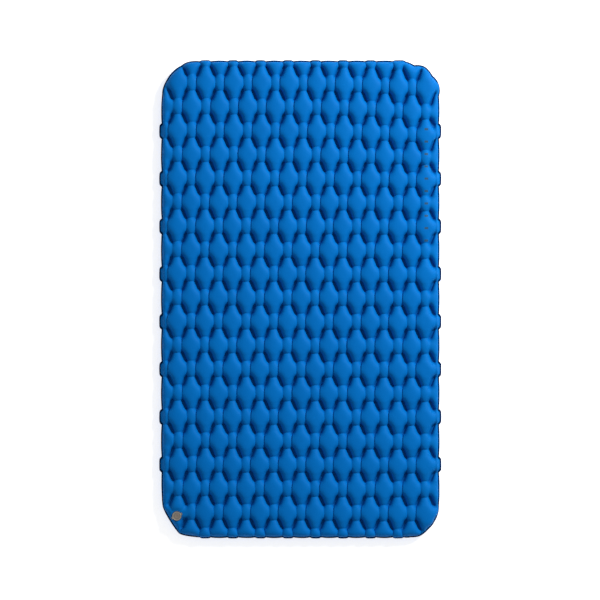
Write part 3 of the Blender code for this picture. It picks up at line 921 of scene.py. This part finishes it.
def valve_object(name, bm, material, body):
    """Put a piece made about the valve's axis in its place, turned along the straps."""
    bmesh.ops.recalc_face_normals(bm, faces=bm.faces)
    bm.transform(Matrix.Translation((VALVE.x, VALVE.y, 0)) @ Matrix.Rotation(VALVE_TURN, 4, "Z"))
    mesh = bpy.data.meshes.new(name)
    bm.to_mesh(mesh)
    bm.free()
    return new_object(name, mesh, material, body, SMOOTH_ANGLE)


def turned_object(name, node, profile, material, body, extra=None, dents=None):
    """A turned piece that stands for a CAD node, with whatever extra adds to it."""
    bm = bmesh.new()
    add_turned(bm, profile, dents=dents)
    if extra:
        extra(bm)
    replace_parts(valve_object(name, bm, material, body), node)


def strap_object(name, strap, material):
    """A U-shaped strap between the two bodies that it joins; it rides on neither of them."""
    *path, thickness = strap
    bm = bmesh.new()
    add_strip(bm, u_path(*path), STRAP_WIDTH, thickness)
    piece = valve_object(name, bm, material, None)
    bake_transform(piece)


def add_seat_arms(bm):
    """The seat's hub and its spokes."""
    add_turned(bm, rounded(HUB_PROFILE), HUB_TURNS)
    start, length, height = SPOKE_LINE
    line = [(start + length * n / STRIP_STEPS, height) for n in range(STRIP_STEPS + 1)]
    for k in range(SPOKES):
        spoke = bmesh.new()
        add_strip(spoke, line, *SPOKE_SECTION)
        spoke.transform(Matrix.Rotation(math.radians(360 / SPOKES * k) - VALVE_TURN, 4, "Z"))
        merge(bm, spoke)


def build_valve():
    """The valve's body, its two straps, the plug and the cap, and the check valve inside."""
    body = moulded_material("moulded_body", (0.105, 0.102, 0.096), (0.080, 0.078, 0.073), 0.45)
    # painted shade: the collar and strap ring are near-black, standing for the shadow ring round
    # the cap
    dark = moulded_material("moulded_collar_painted_shade", (0.030, 0.036, 0.052), (0.022, 0.027, 0.040), 0.50)
    pale = moulded_material("moulded_cap", (0.200, 0.170, 0.145), (0.150, 0.130, 0.110), 0.42,
                            rim=(0.300, 0.290, 0.255))
    black = moulded_material("seal_black", (0.012, 0.012, 0.013), (0.018, 0.018, 0.018), 0.50)
    clear = moulded_material("silicone_milky", (0.520, 0.530, 0.520), (0.440, 0.450, 0.440), 0.35)
    fill(clear.node_tree.nodes["Principled BSDF"], Subsurface_Weight=0.15)

    # both in the near-black plastic that carries painted shade
    turned_object("valve_collar", "valve_base", rounded(BASE_PROFILE), dark, "mat")
    turned_object("strap_ring", "plug_strap_ring", rounded(RING_PROFILE), dark, "mat")
    turned_object("large_plug", "deflate_plug", rounded(PLUG_PROFILE), body, "plug",
                  lambda bm: add_tab(bm, *PLUG_TAB), PLUG_GRIP)
    strap_object("plug_strap", PLUG_STRAP, body)
    turned_object("plug_o_ring", "plug_seal", torus_profile(*PLUG_SEAL), black,
                  "plug")
    turned_object("check_seat", "valve_seat", rounded(SEAT_PROFILE), body, "plug",
                  add_seat_arms)
    turned_object("check_disc", "check_diaphragm", rounded(DIAPHRAGM_PROFILE), clear,
                  "diaphragm")
    turned_object("small_cap", "inflate_cap", rounded(CAP_PROFILE), pale, "cap",
                  lambda bm: add_tab(bm, *CAP_TAB), CAP_GRIP)
    strap_object("cap_strap", CAP_STRAP, pale)
    turned_object("cap_o_ring", "cap_seal", torus_profile(*CAP_SEAL), black, "cap")


# ---- materials ----
def fill(node, **values):
    """Set a node's own input values. Names have _ for their spaces."""
    for name, value in values.items():
        node.inputs[name.replace("_", " ")].default_value = value


class Nodes:
    """Short forms for building a material's node tree."""

    def __init__(self, name, color, roughness):
        self.material = bpy.data.materials.new(name)
        self.material.use_nodes = True
        self.tree = self.material.node_tree
        self.shader = self.tree.nodes["Principled BSDF"]
        fill(self.shader, Base_Color=(*color, 1), Roughness=roughness)
        self.material.diffuse_color = (*color, 1)

    def add(self, kind, **settings):
        node = self.tree.nodes.new(kind)
        for key, value in settings.items():
            setattr(node, key, value)
        return node

    def link(self, source, target):
        self.tree.links.new(source, target)

    def math(self, operation, a, b=None):
        node = self.add("ShaderNodeMath", operation=operation)
        for socket, value in zip(node.inputs, (a, b)):
            if isinstance(value, (int, float)):
                socket.default_value = value
            elif value is not None:
                self.link(value, socket)
        return node.outputs[0]

    def product(self, first, *others):
        for other in others:
            first = self.math("MULTIPLY", first, other)
        return first

    def noise(self, vector, scale, detail, roughness=0.5):
        node = self.add("ShaderNodeTexNoise")
        fill(node, Scale=scale, Detail=detail, Roughness=roughness)
        self.link(vector, node.inputs["Vector"])
        return node.outputs["Fac"]

    def ramp(self, value, low, high):
        """Map 0..1 noise onto low..high."""
        node = self.add("ShaderNodeMapRange")
        fill(node, From_Min=0.25, From_Max=0.75, To_Min=low, To_Max=high)
        self.link(value, node.inputs["Value"])
        return node.outputs["Result"]

    def mix(self, factor, a, b):
        node = self.add("ShaderNodeMix", data_type="RGBA")
        self.link(factor, node.inputs["Factor"])
        for socket, value in ((node.inputs["A"], a), (node.inputs["B"], b)):
            if isinstance(value, tuple):
                socket.default_value = (*value, 1)
            else:
                self.link(value, socket)
        return node.outputs["Result"]

    def bump(self, height, strength, distance, normal=None):
        node = self.add("ShaderNodeBump")
        fill(node, Strength=strength, Distance=distance)
        self.link(height, node.inputs["Height"])
        if normal is not None:
            self.link(normal, node.inputs["Normal"])
        return node.outputs["Normal"]


NYLON_BLUE = ((0.0004, 0.142, 0.475), (0.0003, 0.105, 0.378))  # plain, and where it is uneven
# painted shade: the welded edge strip is coloured dark navy for the shade that falls at the mat's
# rim
EDGE_SHADE_BLUE = ((0.0005, 0.020, 0.080), (0.0005, 0.014, 0.055))
WELD_SHADE_BLUE = (0.0004, 0.034, 0.190)  # painted shade in the weld grooves, mixed in by this share
WELD_SHADE_SHARE = 0.46
PRINT_GREY = (0.035, 0.060, 0.055)  # printed marks: colour, cover, number and size
PRINT_SHARE = 0.75
MARKS = 10
MARK_PITCH = 0.0505
MARK_HALF_WIDTH = 0.0075
MARK_HALF_HEIGHT = 0.0042
THREAD_PITCH = 0.0007  # of the weave


def fabric_material(name, base, dark, marks=False):
    """Coated plain-weave nylon: fine weave, soft creases, slight unevenness of the dye."""
    n = Nodes(name, base, 0.55)
    uv = n.add("ShaderNodeUVMap", uv_map="fabric").outputs["UV"]
    place = n.add("ShaderNodeTexCoord").outputs["Object"]
    split = n.add("ShaderNodeSeparateXYZ")
    n.link(uv, split.inputs[0])
    thread = 2 * math.pi / THREAD_PITCH
    warp = n.math("SINE", n.product(split.outputs["X"], thread))
    weft = n.math("SINE", n.product(split.outputs["Y"], thread))
    weave = n.product(warp, weft)
    broad = n.noise(place, scale=9.0, detail=2.0)
    fine = n.noise(uv, scale=420.0, detail=2.0)
    creases = n.noise(place, scale=70.0, detail=4.0, roughness=0.55)
    color = n.mix(n.ramp(broad, 0.0, 0.35), base, dark)
    color = n.mix(n.ramp(fine, 0.0, 0.10), color, dark)
    # painted shade: the welds and the points beside them are darkened towards deep navy, where
    # shade falls in the grooves
    painted_weld_shade = n.add("ShaderNodeAttribute", attribute_name="painted_weld_shade").outputs["Fac"]
    color = n.mix(n.product(painted_weld_shade, WELD_SHADE_SHARE), color, WELD_SHADE_BLUE)
    if marks:
        color = n.mix(printed_marks(n, place), color, PRINT_GREY)
    n.link(color, n.shader.inputs["Base Color"])
    n.link(n.ramp(creases, 0.50, 0.62), n.shader.inputs["Roughness"])
    normal = n.bump(creases, strength=0.35, distance=0.0012)
    normal = n.bump(weave, strength=0.25, distance=0.00012, normal=normal)
    n.link(normal, n.shader.inputs["Normal"])
    fill(n.shader, Sheen_Weight=0.02, Sheen_Roughness=0.40, Sheen_Tint=(0.10, 0.55, 1.0, 1),
         Specular_IOR_Level=0.04)
    return n.material


def moulded_material(name, base, dark, roughness, rim=None):
    """Moulded soft plastic: fine pebble grain, faint flow marks and rubbed patches.

    rim is the colour outside the cap's recessed middle, where there is one.
    """
    n = Nodes(name, base, roughness)
    place = n.add("ShaderNodeTexCoord").outputs["Object"]
    flow = n.noise(place, scale=130.0, detail=3.0)
    grain = n.noise(place, scale=2600.0, detail=2.0)
    rubbed = n.noise(place, scale=420.0, detail=4.0, roughness=0.6)
    color = n.mix(n.ramp(flow, 0.0, 0.8), base, dark)
    color = n.mix(n.ramp(rubbed, 0.0, 0.25), color, tuple(min(1.0, 1.25 * c) for c in base))
    if rim is not None:
        split = n.add("ShaderNodeSeparateXYZ")
        n.link(place, split.inputs[0])
        across = n.math("SUBTRACT", split.outputs["X"], VALVE.x)
        along = n.math("SUBTRACT", split.outputs["Y"], VALVE.y)
        square = n.math("ADD", n.product(across, across), n.product(along, along))
        outside = n.math("GREATER_THAN", n.math("SQRT", square), RIM_RADIUS)
        color = n.mix(outside, color, rim)
    n.link(color, n.shader.inputs["Base Color"])
    n.link(n.ramp(rubbed, roughness - 0.06, roughness + 0.08), n.shader.inputs["Roughness"])
    normal = n.bump(flow, strength=0.20, distance=0.0002)
    normal = n.bump(grain, strength=0.35, distance=0.00006, normal=normal)
    n.link(normal, n.shader.inputs["Normal"])
    fill(n.shader, Specular_IOR_Level=0.40)
    return n.material


def printed_marks(n, place):
    """A column of short plain dashes, printed near the +X side."""
    split = n.add("ShaderNodeSeparateXYZ")
    n.link(place, split.inputs[0])
    x, y = split.outputs["X"], split.outputs["Y"]
    top = row_y(3) + 0.006
    across = n.math("ABSOLUTE", n.math("SUBTRACT", x, column_x(19) + 0.001))
    steps = n.math("DIVIDE", n.math("SUBTRACT", top, y), MARK_PITCH)
    nearest = n.math("ROUND", steps)
    along = n.math("ABSOLUTE", n.product(n.math("SUBTRACT", steps, nearest), MARK_PITCH))
    wide = n.math("LESS_THAN", across, MARK_HALF_WIDTH)
    tall = n.math("LESS_THAN", along, MARK_HALF_HEIGHT)
    first = n.math("GREATER_THAN", steps, -0.5)
    last = n.math("LESS_THAN", steps, MARKS - 0.5)
    up = n.math("GREATER_THAN", split.outputs["Z"], MID)
    return n.product(wide, tall, first, last, up, PRINT_SHARE)


# ---- stage ----
WORLD_STRENGTH = 0.42
KEY_PLACE = (3.6, 3.2, 3.4)
KEY_SIZE = 1.8
KEY_POWER = 400
FLOOR_REACH = 12.0  # from the middle to each side
FLOOR_WHITE = (0.90, 0.90, 0.90)
FLOOR_ROUGHNESS = 0.9
FLOOR_GLOW = 0.60  # lifts the floor to the photograph's plain white
LENS = 135.0  # millimetres, as is the sensor
SENSOR = 36.0
FIELD = 2.4576  # width of the picture at the mat
AIM = Vector((-0.0012, -0.0029, MID))  # point at the middle of the picture


def build_stage():
    """White floor, even soft light with a key from the upper right, camera overhead."""
    scene = bpy.context.scene
    world = bpy.data.worlds.new("studio")
    world.use_nodes = True
    fill(world.node_tree.nodes["Background"], Color=(1, 1, 1, 1), Strength=WORLD_STRENGTH)
    scene.world = world
    scene.view_settings.view_transform = "Standard"

    mesh = bpy.data.meshes.new("floor")
    corners = [(-1, -1), (1, -1), (1, 1), (-1, 1)]
    mesh.from_pydata([(FLOOR_REACH * x, FLOOR_REACH * y, 0) for x, y in corners],
                     [], [(0, 1, 2, 3)])
    floor = bpy.data.objects.new("floor", mesh)
    scene.collection.objects.link(floor)
    pale = Nodes("floor_pale", FLOOR_WHITE, FLOOR_ROUGHNESS)
    fill(pale.shader, Emission_Color=(1, 1, 1, 1), Emission_Strength=FLOOR_GLOW)
    floor.data.materials.append(pale.material)

    light = bpy.data.lights.new("key", "AREA")
    light.shape = "DISK"
    light.size = KEY_SIZE
    light.energy = KEY_POWER
    key = bpy.data.objects.new("key", light)
    scene.collection.objects.link(key)
    key.location = KEY_PLACE
    towards = Vector((0, 0, MID)) - Vector(KEY_PLACE)
    key.rotation_euler = towards.to_track_quat("-Z", "Y").to_euler()

    camera = bpy.data.cameras.new("camera")
    camera.lens = LENS
    camera.sensor_width = SENSOR
    camera.clip_end = 50.0
    eye = bpy.data.objects.new("camera", camera)
    scene.collection.objects.link(eye)
    eye.location = AIM + Vector((0, 0, FIELD * camera.lens / camera.sensor_width))
    scene.camera = eye


def main():
    """Build the stage, then the fabric, then the valve."""
    build_stage()
    rng = np.random.default_rng(PATTERN_SEED)
    loop = seam_loop()
    waves = seam_waves(loop, rng)
    blue = fabric_material("nylon_top", *NYLON_BLUE, marks=True)
    under = fabric_material("nylon_under", *NYLON_BLUE)
    # the welded edge's colour is painted shade
    edge = fabric_material("nylon_edge_painted_shade", *EDGE_SHADE_BLUE)

    sheet = Sheet(loop, rng)
    lower = inflate(sheet, waves, LOWER_SEED, INFLATE_STEPS)
    bottom = sheet_object("mat_bottom", sheet, fitted(lower.copy(), sheet), -1, under)
    sheet.open_for_valve()
    upper = inflate(sheet, waves, UPPER_SEED, INFLATE_STEPS * 2 // 3, start=lower)
    top = sheet_object("mat_top", sheet, fitted(upper, sheet), 1, blue)
    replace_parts(top, "top_sheet")
    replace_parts(bottom, "bottom_sheet")
    seam_edge(loop, waves, edge)
    build_valve()


main()
